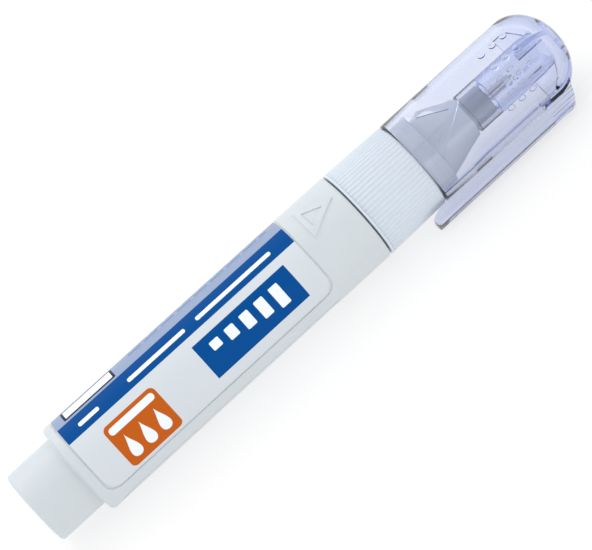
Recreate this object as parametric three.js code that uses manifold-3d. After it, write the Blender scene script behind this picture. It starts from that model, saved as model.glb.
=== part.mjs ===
// A pen-shaped correction fluid bottle. A white squeeze bottle carries a wrap-round label and holds
// a loose mixing ball. A ribbed nozzle snaps on its neck and ends in a steel tip, whose sprung needle
// opens when it is pressed on paper. A clear blue cap with a pocket clip pushes on over the nozzle,
// and fits on the bottle's tail while the pen is in use.
//
// Millimetres. The pen lies on a table along +X with +Z up. The origin is the centre of its flat tail
// end. Each piece is drawn round its own +Y, the pen's axis, and the group at the end lays the pen
// down. Angles round the axis are in degrees, from straight up towards the side that the clip is on.
import * as THREE from "three";
import { mergeVertices } from "three/addons/utils/BufferGeometryUtils.js";
import Module from "manifold-3d";

const wasm = await Module();
wasm.setup();

// Clearances
const PRESS_GAP = 0.05; // between pieces that are pressed or seated together
const SLIDE_GAP = 0.12; // between the cap and what it slides over, and round the neck
const SEAM_GAP = 0.25; // the dark line between the bottle and the collar
const CAP_GAP = 0.2; // the dark line between the collar and the cap
const BALL_GAP = 0.3; // under the mixing ball
const HOLDER_GAP = 0.3; // in front of the needle holder, where the fluid passes

// Bottle
const TAIL_LENGTH = 8;
const TAIL_ROUND = 0.7;
const BODY_LENGTH = 53.05;
const BODY_RADIUS_REAR = 7.5;
const BODY_RADIUS_FRONT = 7.3;
const SHOULDER_ROUND = 1.5;
const BODY_FRONT_ROUND = 0.35;
const BOTTLE_WALL = 0.9;
const NECK_RADIUS = 5.6;
const NECK_WALL = 1.2;
const NECK_LENGTH = 8;
const BEAD_HEIGHT = 0.25;
const BEAD_WIDTH = 1.2;
const BEAD_FROM_BODY = 4.2;
const BODY_ARROW_BASE = 5.8;
const BODY_ARROW_HEIGHT = 5.65;
const BODY_ARROW_BAND = 0.9;
const BODY_ARROW_FROM_FRONT = 1.25;
const BODY_ARROW_FROM_CLIP = 110;
const ARROW_RELIEF = 0.2;

// Label, in a shallow recess of the bottle
const LABEL_FROM_TAIL = 9.75;
const LABEL_LENGTH = 41.95;
const LABEL_THICKNESS = 0.1;
const LABEL_RECESS = 0.2;
const LABEL_MARGIN = 0.35;
const LABEL_EDGE_FROM_CLIP = 27.4;
const LABEL_GAP_ANGLE = 28;
const LABEL_CORNER_ROUND = 2.3;

// Mixing ball
const BALL_RADIUS = 2.5;
const BALL_FROM_SHOULDER = 5;

// Nozzle: ribbed collar, seat for the cap, cone, step and spout in one moulding
const COLLAR_LENGTH = 10.5;
const COLLAR_RADIUS_REAR = 7.33;
const COLLAR_RADIUS_FRONT = 7.12;
const COLLAR_LIP = 0.4;
const RIB_COUNT = 66;
const RIB_HEIGHT = 0.2;
const RIB_CREST = 0.3;
const RIB_SETBACK = 0.15;
const RIB_BELOW_LIP = 0.05;
const SEAT_RADIUS = 5.95;
const SEAT_LENGTH = 3.4;
const SNAP_RING_HEIGHT = 0.06;
const SNAP_RING_WIDTH = 0.8;
const CONE_RADIUS_REAR = 5.3;
const CONE_RADIUS_FRONT = 3.3;
const CONE_LENGTH = 6.8;
const SPOUT_RADIUS = 2.45;
const SPOUT_LENGTH = 4;
const SPOUT_ROUND = 0.3;
const CHAMBER_RADIUS = 2;
const CHAMBER_WALL = 0.9;
const CHAMBER_INTO_NECK = 1.7;
const POCKET_WALL = 1.1;
const POCKET_DEPTH = 2.9;

// Gasket between the bottle's mouth and the nozzle
const GASKET_THICKNESS = 0.8;

// Steel tip
const TIP_RADIUS = 0.75;
const TIP_BORE_RADIUS = 0.45;
const TIP_OUT = 4.5;
const TIP_NOSE_LENGTH = 1;
const TIP_NOSE_RADIUS = 0.48;
const TIP_FLANGE_LENGTH = 0.8;
const ORIFICE_RADIUS = 0.27;
const ORIFICE_LENGTH = 0.5;

// Needle, the plastic holder on its rear end, the spring and the plug that holds the spring
const NEEDLE_RADIUS = 0.34;
const NEEDLE_PIN_RADIUS = 0.2;
const NEEDLE_OUT = 0.45;
const NEEDLE_IN_HOLDER = 2;
const HOLDER_RADIUS = 1.75;
const HOLDER_LENGTH = 3;
const HOLDER_FLUTES = 3;
const HOLDER_FLUTE_DEPTH = 0.6;
const SPIGOT_RADIUS = 0.85;
const SPIGOT_LENGTH = 1.3;
const SPRING_RADIUS = 1.3;
const WIRE_RADIUS = 0.15;
const SPRING_COILS = 8;
const PLUG_LENGTH = 2.2;
const PLUG_FLANGE_RADIUS = 2.7;
const PLUG_FLANGE_LENGTH = 0.6;
const PLUG_BORE_RADIUS = 0.6;
const PLUG_SLOT_WIDTH = 0.9;

// Cap
const CAP_LENGTH = 27.7;
const CAP_RADIUS = 7.1;
const CAP_RIM_ROUND = 0.25;
const CAP_DOME_LENGTH = 5.6;
const CAP_MOUTH_DEPTH = 6;
const CAP_MOUTH_TAPER = 3;
const CAVITY_RADIUS = 5.85;
const CAVITY_DOME_LENGTH = 4.6;
const CAP_END_WALL = 1.7;
const SLEEVE_WALL = 0.6;
const SLEEVE_BORE_RADIUS = 2;
const SLEEVE_STEP_GAP = 0.5;
const WEB_COUNT = 4;
const WEB_THICKNESS = 0.75;
const WEB_LENGTH = 5.5;
const CAP_FACE_FROM_CLIP = 94;
const CAP_ARROW_BASE = 8.8;
const CAP_ARROW_HEIGHT = 7.3;
const CAP_ARROW_BAND = 1.1;
const CAP_ARROW_FROM_RIM = 2.85;
const DOT_RADIUS = 0.58;
const DOT_HEIGHT = 0.28;
const DOT_ROWS = 3;
const DOTS_IN_ROW = 3;
const DOT_ROW_ANGLE = 24.2;
const DOT_PITCH = 2.05;
const DOT_FROM_DOME = 1.23;

// Pocket clip, moulded with the cap
const CLIP_WIDTH = 3.2;
const CLIP_GAP = 0.55;
const CLIP_THICKNESS_ROOT = 1.9;
const CLIP_THICKNESS_END = 2;
const CLIP_ROUND = 0.6;
const CLIP_PAST_RIM = 3.6;
const CLIP_LEAD_IN = 0.7;
const CLIP_LEAD_IN_LENGTH = 2;
const CLIP_END_ROUND = 0.7;
const CLIP_ROOT_FROM_END = 8.7;
const CLIP_CORNER_FROM_END = 5;
const CLIP_CORNER_ROUND = 1.5;
const CLIP_CORNER_SLOPE = 0.5;
const CLIP_GROOVES = 2;
const CLIP_GROOVE_WIDTH = 0.45;
const CLIP_GROOVE_DEPTH = 0.35;
const CLIP_GROOVE_PITCH = 1.15;

// How finely round surfaces are cut into facets
const AROUND = 40;
const AROUND_SMALL = 20;
const ROUND_STEPS = 3;
const DOME_STEPS = 6;
const COIL_STEPS = 8;
const WIRE_SIDES = 5;

// How far a solid reaches into the one that it is joined to, or past the one that it cuts
const OVERLAP = 0.4;

// Places along the axis, from the tail end
const bodyFrontAt = TAIL_LENGTH + BODY_LENGTH;
const neckEndAt = bodyFrontAt + NECK_LENGTH;
const labelEndAt = LABEL_FROM_TAIL + LABEL_LENGTH;
const collarAt = bodyFrontAt + SEAM_GAP;
const collarFrontAt = collarAt + COLLAR_LENGTH;
const coneAt = collarFrontAt + SEAT_LENGTH;
const spoutAt = coneAt + CONE_LENGTH;
const spoutEndAt = spoutAt + SPOUT_LENGTH;
const gasketAt = neckEndAt + PRESS_GAP;
const ceilingAt = gasketAt + GASKET_THICKNESS + PRESS_GAP;
const chamberAt = neckEndAt - CHAMBER_INTO_NECK;
const tipAt = spoutAt - TIP_FLANGE_LENGTH - PRESS_GAP;
const tipEndAt = spoutEndAt + TIP_OUT;
const orificeAt = tipEndAt - ORIFICE_LENGTH;
const holderFrontAt = tipAt - HOLDER_GAP;
const holderAt = holderFrontAt - HOLDER_LENGTH;
const needleAt = holderFrontAt - NEEDLE_IN_HOLDER;
const plugFrontAt = chamberAt + PLUG_LENGTH;
const capAt = collarFrontAt + CAP_GAP;
const capEndAt = capAt + CAP_LENGTH;
const cavityEndAt = capEndAt - CAP_END_WALL;
const domeAt = capEndAt - CAP_DOME_LENGTH;

// Radii that follow from their neighbours
const tailRadius = SEAT_RADIUS;
const neckBore = NECK_RADIUS - NECK_WALL;
const beadRadius = NECK_RADIUS + BEAD_HEIGHT;
const skirtBore = NECK_RADIUS + SLIDE_GAP;
const skirtGroove = beadRadius + SLIDE_GAP;
const chamberTubeRadius = CHAMBER_RADIUS + CHAMBER_WALL;
const tipSeat = TIP_RADIUS + PRESS_GAP;
const mouthRadius = SEAT_RADIUS + SLIDE_GAP;
const sleeveMouth = SPOUT_RADIUS + SLIDE_GAP;
const sleeveRadius = sleeveMouth + SLEEVE_WALL;
const clipInner = CAP_RADIUS + CLIP_GAP;
const clipOuterRoot = clipInner + CLIP_THICKNESS_ROOT;
const clipOuterEnd = clipInner + CLIP_THICKNESS_END;

// The pen has rolled until the clip's lower edge meets the table that the bottle lies on.
function rolledClipAngle() {
  const edgeOut = clipOuterEnd - CLIP_ROUND;
  const edgeAcross = CLIP_WIDTH / 2 - CLIP_ROUND;
  const edgeFromDown = Math.acos((BODY_RADIUS_REAR - CLIP_ROUND) / Math.hypot(edgeOut, edgeAcross));
  return 180 - THREE.MathUtils.radToDeg(edgeFromDown + Math.atan2(edgeAcross, edgeOut));
}
const clipAngle = rolledClipAngle();
const labelEdgeAngle = clipAngle - LABEL_EDGE_FROM_CLIP;
const capFaceAngles = [clipAngle - CAP_FACE_FROM_CLIP, clipAngle + CAP_FACE_FROM_CLIP];

// The bottle's body tapers towards the neck, and the collar towards the cap.
function bodyRadiusAt(along) {
  return THREE.MathUtils.mapLinear(along, TAIL_LENGTH, bodyFrontAt, BODY_RADIUS_REAR, BODY_RADIUS_FRONT);
}

function collarRadiusAt(along) {
  return THREE.MathUtils.mapLinear(
    along, collarAt, collarFrontAt, COLLAR_RADIUS_REAR, COLLAR_RADIUS_FRONT,
  );
}

// A closed geometry as a solid that can be joined and cut. Triangles that collapse on the axis go.
function solidOf(geometry) {
  const bare = new THREE.BufferGeometry();
  bare.setAttribute("position", geometry.getAttribute("position"));
  if (geometry.index) bare.setIndex(geometry.index);
  const merged = mergeVertices(bare, 1e-4);
  const corners = [];
  for (let i = 0; i < merged.index.count; i += 3) {
    const [a, b, c] = merged.index.array.slice(i, i + 3);
    if (a !== b && b !== c && c !== a) corners.push(a, b, c);
  }
  return new wasm.Manifold(
    new wasm.Mesh({
      numProp: 3,
      vertProperties: merged.getAttribute("position").array,
      triVerts: new Uint32Array(corners),
    }),
  );
}

function geometryOf(solid) {
  const mesh = solid.getMesh();
  const geometry = new THREE.BufferGeometry();
  geometry.setAttribute("position", new THREE.BufferAttribute(mesh.vertProperties, 3));
  geometry.setIndex(new THREE.BufferAttribute(mesh.triVerts, 1));
  geometry.computeVertexNormals();
  return geometry;
}

// The points of an outline whose corners are [x, y, rounding]. A rounding keeps within its sides.
function outlineOf(corners) {
  const points = [];
  corners.forEach(([x, y, round], i) => {
    const corner = new THREE.Vector2(x, y);
    if (!round) {
      points.push(corner);
      return;
    }
    const back = new THREE.Vector2(...corners.at(i - 1).slice(0, 2)).sub(corner);
    const on = new THREE.Vector2(...corners.at((i + 1) % corners.length).slice(0, 2)).sub(corner);
    const half = back.angleTo(on) / 2;
    const reach = Math.min(round / Math.tan(half), back.length() / 2, on.length() / 2);
    const first = back.clone().setLength(reach).add(corner);
    const last = on.clone().setLength(reach).add(corner);
    const inward = first.clone().add(last).multiplyScalar(0.5).sub(corner);
    const centre = inward.setLength(reach / Math.cos(half)).add(corner);
    const from = first.clone().sub(centre).angle();
    let turn = last.clone().sub(centre).angle() - from;
    if (turn > Math.PI) turn -= 2 * Math.PI;
    if (turn < -Math.PI) turn += 2 * Math.PI;
    const radius = first.distanceTo(centre);
    for (let step = 0; step <= ROUND_STEPS; step++) {
      const angle = from + (turn * step) / ROUND_STEPS;
      points.push(new THREE.Vector2(Math.cos(angle), Math.sin(angle)).multiplyScalar(radius).add(centre));
    }
  });
  return points;
}

// A solid turned round the axis. Its corners run up the outside and down the inside.
function turned(corners, facets = AROUND) {
  const points = outlineOf(corners);
  const onAxis = points.at(0).x === 0 && points.at(-1).x === 0;
  if (!onAxis) points.push(points[0].clone());
  return solidOf(new THREE.LatheGeometry(points, facets));
}

// The corners of a dome, from the step after its foot to where it has narrowed to an end radius.
function domeCorners(radius, length, from, endRadius) {
  const endAngle = Math.acos(endRadius / radius);
  const corners = [];
  for (let step = 1; step < DOME_STEPS; step++) {
    const angle = endAngle * (step / DOME_STEPS);
    corners.push([radius * Math.cos(angle), from + length * Math.sin(angle)]);
  }
  corners.push([endRadius, from + length * Math.sin(endAngle)]);
  return corners;
}

function block(width, height, depth, x, y, z) {
  return solidOf(new THREE.BoxGeometry(width, height, depth).translate(x, y, z));
}

// A flat shape in X and Y with a thickness along Z, centred on its plane.
function plate(corners, depth, holeCorners) {
  const shape = new THREE.Shape(outlineOf(corners));
  if (holeCorners) shape.holes.push(new THREE.Path(outlineOf(holeCorners)));
  const geometry = new THREE.ExtrudeGeometry(shape, { depth, bevelEnabled: false });
  return solidOf(geometry.translate(0, 0, -depth / 2));
}

// Turn a solid that points along +Z, or along +X, to an angle round the axis.
const turnFromZ = (solid, angle) => solid.rotate([0, angle, 0]);
const turnFromX = (solid, angle) => solid.rotate([0, angle - 90, 0]);

// A raised triangle outline that points along the axis, on a round surface whose radius changes from
// its base to its point.
function arrow(base, height, band, at, radiusAtBase, radiusAtPoint, angle) {
  const side = Math.hypot(base / 2, height);
  const innerHalf = (base / 2) * (1 - band / height) - (band * side) / height;
  const innerTop = height - (band * side) / (base / 2);
  const outer = [[-base / 2, 0], [base / 2, 0], [0, height]];
  const inner = [[-innerHalf, band], [innerHalf, band], [0, innerTop]];
  const frame = plate(outer, 2 * radiusAtBase, inner).translate([0, 0, radiusAtBase]);
  const skin = turned([
    [radiusAtBase - OVERLAP, 0],
    [radiusAtBase + ARROW_RELIEF, 0],
    [radiusAtPoint + ARROW_RELIEF, height],
    [radiusAtPoint - OVERLAP, height],
  ]);
  return turnFromZ(frame, angle).intersect(skin).translate([0, at, 0]);
}

// The gap between the label's ends, made narrower by a margin on each side. It widens round the
// label's rounded corners, past both ends of the label.
function labelGap(margin) {
  const half = BODY_RADIUS_REAR * Math.sin(THREE.MathUtils.degToRad(LABEL_GAP_ANGLE / 2)) - margin;
  const flare = half + 2 * LABEL_CORNER_ROUND;
  const from = LABEL_FROM_TAIL - margin;
  const to = labelEndAt + margin;
  const side = [
    [flare, from - 2 * OVERLAP],
    [flare, from],
    [half, from, LABEL_CORNER_ROUND],
    [half, to, LABEL_CORNER_ROUND],
    [flare, to],
    [flare, to + 2 * OVERLAP],
  ];
  const otherSide = side.map(([across, along, round]) => [-across, along, round]).reverse();
  const gap = plate([...side, ...otherSide], 2 * BODY_RADIUS_REAR).translate([0, 0, BODY_RADIUS_REAR]);
  return turnFromZ(gap, labelEdgeAngle + LABEL_GAP_ANGLE / 2);
}

// The blow-moulded bottle: a closed tail, a shoulder, the body with the label's recess, and the neck.
// The recess follows the label's outline, so the wall keeps its full height between the label's ends.
function bottle() {
  const recessFrom = LABEL_FROM_TAIL - LABEL_MARGIN;
  const recessTo = labelEndAt + LABEL_MARGIN;
  const beadAt = bodyFrontAt + BEAD_FROM_BODY;
  const wallInside = LABEL_RECESS + BOTTLE_WALL;
  const boreRear = bodyRadiusAt(recessFrom) - wallInside;
  const boreFront = bodyRadiusAt(recessTo) - wallInside;
  const tailBore = tailRadius - BOTTLE_WALL;
  const shell = turned([
    [0, 0],
    [tailRadius, 0, TAIL_ROUND],
    [tailRadius, TAIL_LENGTH],
    [BODY_RADIUS_REAR, TAIL_LENGTH, SHOULDER_ROUND],
    [BODY_RADIUS_FRONT, bodyFrontAt, BODY_FRONT_ROUND],
    [NECK_RADIUS, bodyFrontAt],
    [NECK_RADIUS, beadAt],
    [beadRadius, beadAt + BEAD_HEIGHT],
    [beadRadius, beadAt + BEAD_WIDTH - BEAD_HEIGHT],
    [NECK_RADIUS, beadAt + BEAD_WIDTH],
    [NECK_RADIUS, neckEndAt],
    [neckBore, neckEndAt],
    [neckBore, bodyFrontAt - BOTTLE_WALL],
    [boreFront, bodyFrontAt - BOTTLE_WALL - (boreFront - neckBore) / 2],
    [boreRear, TAIL_LENGTH + BOTTLE_WALL + (boreRear - tailBore) / 2],
    [tailBore, TAIL_LENGTH + BOTTLE_WALL],
    [tailBore, BOTTLE_WALL, TAIL_ROUND],
    [0, BOTTLE_WALL],
  ]);
  const recess = turned([
    [bodyRadiusAt(recessFrom) + OVERLAP, recessFrom - OVERLAP],
    [bodyRadiusAt(recessTo) + OVERLAP, recessTo + OVERLAP],
    [bodyRadiusAt(recessTo) - LABEL_RECESS, recessTo - LABEL_RECESS],
    [bodyRadiusAt(recessFrom) - LABEL_RECESS, recessFrom + LABEL_RECESS],
  ]).subtract(labelGap(LABEL_MARGIN));
  const arrowAt = bodyFrontAt - BODY_ARROW_FROM_FRONT - BODY_ARROW_HEIGHT;
  const point = arrow(
    BODY_ARROW_BASE,
    BODY_ARROW_HEIGHT,
    BODY_ARROW_BAND,
    arrowAt,
    bodyRadiusAt(arrowAt),
    bodyRadiusAt(arrowAt + BODY_ARROW_HEIGHT),
    clipAngle - BODY_ARROW_FROM_CLIP,
  );
  return shell.subtract(recess).add(point);
}

// The printed film. It goes round the body until its ends, with rounded corners, leave a narrow gap.
function label() {
  const under = LABEL_RECESS - PRESS_GAP;
  const rear = bodyRadiusAt(LABEL_FROM_TAIL) - under;
  const front = bodyRadiusAt(labelEndAt) - under;
  const film = turned([
    [rear, LABEL_FROM_TAIL],
    [rear + LABEL_THICKNESS, LABEL_FROM_TAIL],
    [front + LABEL_THICKNESS, labelEndAt],
    [front, labelEndAt],
  ]);
  return film.subtract(labelGap(0));
}

// The steel ball that stirs the fluid. It lies on the bottle's lowest side, near the tail.
function mixingBall() {
  const at = TAIL_LENGTH + BOTTLE_WALL + BALL_RADIUS + BALL_FROM_SHOULDER;
  const floor = bodyRadiusAt(at) - LABEL_RECESS - BOTTLE_WALL;
  const ball = new THREE.SphereGeometry(BALL_RADIUS, AROUND_SMALL, AROUND_SMALL / 2);
  return solidOf(ball.translate(0, at, -(floor - BALL_GAP - BALL_RADIUS)));
}

// The grip ribs round the collar, as one ring that tapers with it.
function collarRibs() {
  const from = collarAt + COLLAR_LIP / 2;
  const pitch = (2 * Math.PI) / RIB_COUNT;
  const crest = COLLAR_RADIUS_REAR - RIB_BELOW_LIP;
  const root = crest - RIB_HEIGHT;
  const halfCrest = RIB_CREST / 2 / crest;
  const polar = (radius, angle) => new THREE.Vector2(radius * Math.cos(angle), radius * Math.sin(angle));
  const star = [];
  for (let rib = 0; rib < RIB_COUNT; rib++) {
    const middle = rib * pitch;
    star.push(
      polar(root, middle - pitch / 2),
      polar(crest, middle - halfCrest),
      polar(crest, middle + halfCrest),
    );
  }
  const hole = [];
  for (let step = 0; step < AROUND; step++) {
    hole.push(polar(root - OVERLAP, (2 * Math.PI * step) / AROUND));
  }
  const shape = new THREE.Shape(star);
  shape.holes.push(new THREE.Path(hole));
  const depth = collarFrontAt - RIB_SETBACK - from;
  const geometry = new THREE.ExtrudeGeometry(shape, { depth, bevelEnabled: false });
  const spots = geometry.getAttribute("position");
  for (let i = 0; i < spots.count; i++) {
    const along = from + spots.getZ(i);
    const draft = collarRadiusAt(along) / COLLAR_RADIUS_REAR;
    spots.setXYZ(i, spots.getY(i) * draft, along, spots.getX(i) * draft);
  }
  return solidOf(geometry);
}

// The nozzle. Its skirt snaps over the bottle's bead, and the chamber tube reaches back into the neck.
function nozzle() {
  const underRibs = RIB_HEIGHT + OVERLAP / 2;
  const lipEnd = collarAt + COLLAR_LIP;
  const ringAt = collarFrontAt + SEAT_LENGTH / 2;
  const grooveAt = bodyFrontAt + BEAD_FROM_BODY - SLIDE_GAP;
  const grooveEndAt = grooveAt + BEAD_WIDTH + 2 * SLIDE_GAP;
  const grooveDepth = skirtGroove - skirtBore;
  const pocketEndAt = coneAt + POCKET_DEPTH;
  const coneShrink = (CONE_RADIUS_REAR - CONE_RADIUS_FRONT) / CONE_LENGTH;
  const pocketEndRadius = CONE_RADIUS_REAR - POCKET_DEPTH * coneShrink - POCKET_WALL;
  const body = turned([
    [skirtBore, collarAt],
    [collarRadiusAt(collarAt), collarAt, BODY_FRONT_ROUND],
    [collarRadiusAt(lipEnd), lipEnd],
    [collarRadiusAt(lipEnd) - underRibs, lipEnd],
    [collarRadiusAt(collarFrontAt) - underRibs, collarFrontAt],
    [SEAT_RADIUS, collarFrontAt],
    [SEAT_RADIUS, ringAt - SNAP_RING_WIDTH / 2],
    [SEAT_RADIUS + SNAP_RING_HEIGHT, ringAt],
    [SEAT_RADIUS, ringAt + SNAP_RING_WIDTH / 2],
    [SEAT_RADIUS, coneAt, SPOUT_ROUND],
    [CONE_RADIUS_REAR, coneAt],
    [CONE_RADIUS_FRONT, spoutAt, SPOUT_ROUND],
    [SPOUT_RADIUS, spoutAt],
    [SPOUT_RADIUS, spoutEndAt, SPOUT_ROUND],
    [tipSeat, spoutEndAt],
    [tipSeat, spoutAt],
    [CHAMBER_RADIUS, spoutAt],
    [CHAMBER_RADIUS, chamberAt],
    [chamberTubeRadius, chamberAt],
    [chamberTubeRadius, pocketEndAt],
    [pocketEndRadius, pocketEndAt],
    [neckBore, coneAt - POCKET_WALL],
    [neckBore, ceilingAt],
    [skirtBore, ceilingAt],
    [skirtBore, grooveEndAt],
    [skirtGroove, grooveEndAt - grooveDepth],
    [skirtGroove, grooveAt + grooveDepth],
    [skirtBore, grooveAt],
  ]);
  return body.add(collarRibs());
}

function gasket() {
  return turned([
    [neckBore, gasketAt],
    [NECK_RADIUS, gasketAt],
    [NECK_RADIUS, gasketAt + GASKET_THICKNESS],
    [neckBore, gasketAt + GASKET_THICKNESS],
  ]);
}

// The steel tube that the fluid leaves by. Its flange sits on the end of the nozzle's chamber.
function steelTip() {
  const flange = CHAMBER_RADIUS - PRESS_GAP;
  const flangeEndAt = tipAt + TIP_FLANGE_LENGTH;
  return turned(
    [
      [TIP_BORE_RADIUS, tipAt],
      [flange, tipAt],
      [flange, flangeEndAt],
      [TIP_RADIUS, flangeEndAt],
      [TIP_RADIUS, tipEndAt - TIP_NOSE_LENGTH],
      [TIP_NOSE_RADIUS, tipEndAt],
      [ORIFICE_RADIUS, tipEndAt],
      [ORIFICE_RADIUS, orificeAt],
      [TIP_BORE_RADIUS, orificeAt - (TIP_BORE_RADIUS - ORIFICE_RADIUS)],
    ],
    AROUND_SMALL,
  );
}

// The needle. Its pin stands out of the orifice, and the step behind the pin closes the orifice.
function needle() {
  const stepAt = orificeAt - (NEEDLE_RADIUS - ORIFICE_RADIUS) - 2 * PRESS_GAP;
  const endAt = tipEndAt + NEEDLE_OUT;
  return turned(
    [
      [0, needleAt],
      [NEEDLE_RADIUS, needleAt],
      [NEEDLE_RADIUS, stepAt],
      [NEEDLE_PIN_RADIUS, stepAt + NEEDLE_RADIUS - NEEDLE_PIN_RADIUS],
      [NEEDLE_PIN_RADIUS, endAt - NEEDLE_PIN_RADIUS / 2],
      [NEEDLE_PIN_RADIUS / 2, endAt],
      [0, endAt],
    ],
    AROUND_SMALL,
  );
}

// The plastic slider that carries the needle. Fluid passes it along three flutes.
function needleHolder() {
  const socket = NEEDLE_RADIUS + PRESS_GAP;
  let holder = turned(
    [
      [0, holderAt - SPIGOT_LENGTH],
      [SPIGOT_RADIUS, holderAt - SPIGOT_LENGTH],
      [SPIGOT_RADIUS, holderAt],
      [HOLDER_RADIUS, holderAt],
      [HOLDER_RADIUS, holderFrontAt],
      [socket, holderFrontAt],
      [socket, needleAt - PRESS_GAP],
      [0, needleAt - PRESS_GAP],
    ],
    AROUND_SMALL,
  );
  const middle = holderAt + HOLDER_LENGTH / 2;
  const length = HOLDER_LENGTH + 2 * OVERLAP;
  for (let flute = 0; flute < HOLDER_FLUTES; flute++) {
    const cut = block(HOLDER_FLUTE_DEPTH, length, 2 * HOLDER_FLUTE_DEPTH, HOLDER_RADIUS, middle, 0);
    holder = holder.subtract(turnFromX(cut, (360 * flute) / HOLDER_FLUTES));
  }
  return holder;
}

// The compression spring behind the holder, one wire in even coils.
class Coil extends THREE.Curve {
  constructor(from, to) {
    super();
    this.from = from;
    this.to = to;
  }

  getPoint(t) {
    const angle = 2 * Math.PI * SPRING_COILS * t;
    const along = THREE.MathUtils.lerp(this.from, this.to, t);
    return new THREE.Vector3(SPRING_RADIUS * Math.sin(angle), along, SPRING_RADIUS * Math.cos(angle));
  }
}

function spring() {
  const seat = WIRE_RADIUS + 2 * PRESS_GAP;
  const wire = [];
  for (let side = 0; side < WIRE_SIDES; side++) {
    const angle = (2 * Math.PI * side) / WIRE_SIDES;
    wire.push(new THREE.Vector2(WIRE_RADIUS * Math.cos(angle), WIRE_RADIUS * Math.sin(angle)));
  }
  const geometry = new THREE.ExtrudeGeometry(new THREE.Shape(wire), {
    steps: SPRING_COILS * COIL_STEPS,
    extrudePath: new Coil(plugFrontAt + seat, holderAt - seat),
  });
  return solidOf(geometry);
}

// The plug in the rear end of the chamber. It holds the spring, and fluid enters through its slot.
function plug() {
  const plugRadius = CHAMBER_RADIUS - PRESS_GAP;
  const flangeFrontAt = chamberAt - PRESS_GAP;
  const flangeAt = flangeFrontAt - PLUG_FLANGE_LENGTH;
  const body = turned(
    [
      [PLUG_BORE_RADIUS, flangeAt],
      [PLUG_FLANGE_RADIUS, flangeAt],
      [PLUG_FLANGE_RADIUS, flangeFrontAt],
      [plugRadius, flangeFrontAt],
      [plugRadius, plugFrontAt],
      [PLUG_BORE_RADIUS, plugFrontAt],
    ],
    AROUND_SMALL,
  );
  return body.subtract(
    block(2 * PLUG_FLANGE_RADIUS + 2 * OVERLAP, PLUG_FLANGE_LENGTH, PLUG_SLOT_WIDTH, 0, flangeAt, 0),
  );
}

// The clip: its side view, trimmed to a cross-section with rounded outer edges, then grooved at the
// root. Its side view has X away from the pen's axis.
function clip() {
  const sunk = CAVITY_RADIUS + OVERLAP;
  const endAt = capAt - CLIP_PAST_RIM;
  const rootAt = capEndAt - CLIP_ROOT_FROM_END;
  const cornerAt = capEndAt - CLIP_CORNER_FROM_END;
  const side = plate(
    [
      [clipInner + CLIP_LEAD_IN, endAt, CLIP_END_ROUND / 2],
      [clipOuterEnd, endAt, CLIP_END_ROUND],
      [clipOuterRoot, cornerAt, CLIP_CORNER_ROUND],
      [sunk, cornerAt + CLIP_CORNER_SLOPE * (clipOuterRoot - sunk)],
      [sunk, rootAt],
      [clipInner, rootAt],
      [clipInner, endAt + CLIP_LEAD_IN_LENGTH],
    ],
    CLIP_WIDTH,
  );
  const half = CLIP_WIDTH / 2;
  const length = 2 * (capEndAt - endAt);
  const section = plate(
    [
      [0, -half],
      [clipOuterEnd, -half, CLIP_ROUND],
      [clipOuterEnd, half, CLIP_ROUND],
      [0, half],
    ],
    length,
  ).rotate([90, 0, 0]);
  let solid = side.intersect(section.translate([0, endAt, 0]));
  const grooveLength = capEndAt - rootAt;
  const grooveMiddle = rootAt - OVERLAP / 2 + grooveLength / 2;
  for (let groove = 0; groove < CLIP_GROOVES; groove++) {
    const out = clipInner + groove * CLIP_GROOVE_PITCH;
    for (const face of [-half, half]) {
      solid = solid.subtract(
        block(CLIP_GROOVE_WIDTH, grooveLength, 2 * CLIP_GROOVE_DEPTH, out, grooveMiddle, face),
      );
    }
  }
  return turnFromX(solid, clipAngle);
}

// The grip dots in front of the cap's dome, in rows beside one another on one face of the cap.
function capDots(faceAngle) {
  const dots = [];
  const firstAt = domeAt - DOT_FROM_DOME - (DOTS_IN_ROW - 1) * DOT_PITCH;
  for (let row = 0; row < DOT_ROWS; row++) {
    const angle = faceAngle + (row - (DOT_ROWS - 1) / 2) * DOT_ROW_ANGLE;
    for (let i = 0; i < DOTS_IN_ROW; i++) {
      const dot = new THREE.SphereGeometry(DOT_RADIUS, 10, 6);
      dot.scale(1, 1, DOT_HEIGHT / DOT_RADIUS);
      dot.translate(0, firstAt + i * DOT_PITCH, CAP_RADIUS);
      dots.push(turnFromZ(solidOf(dot), angle));
    }
  }
  return dots;
}

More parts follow.
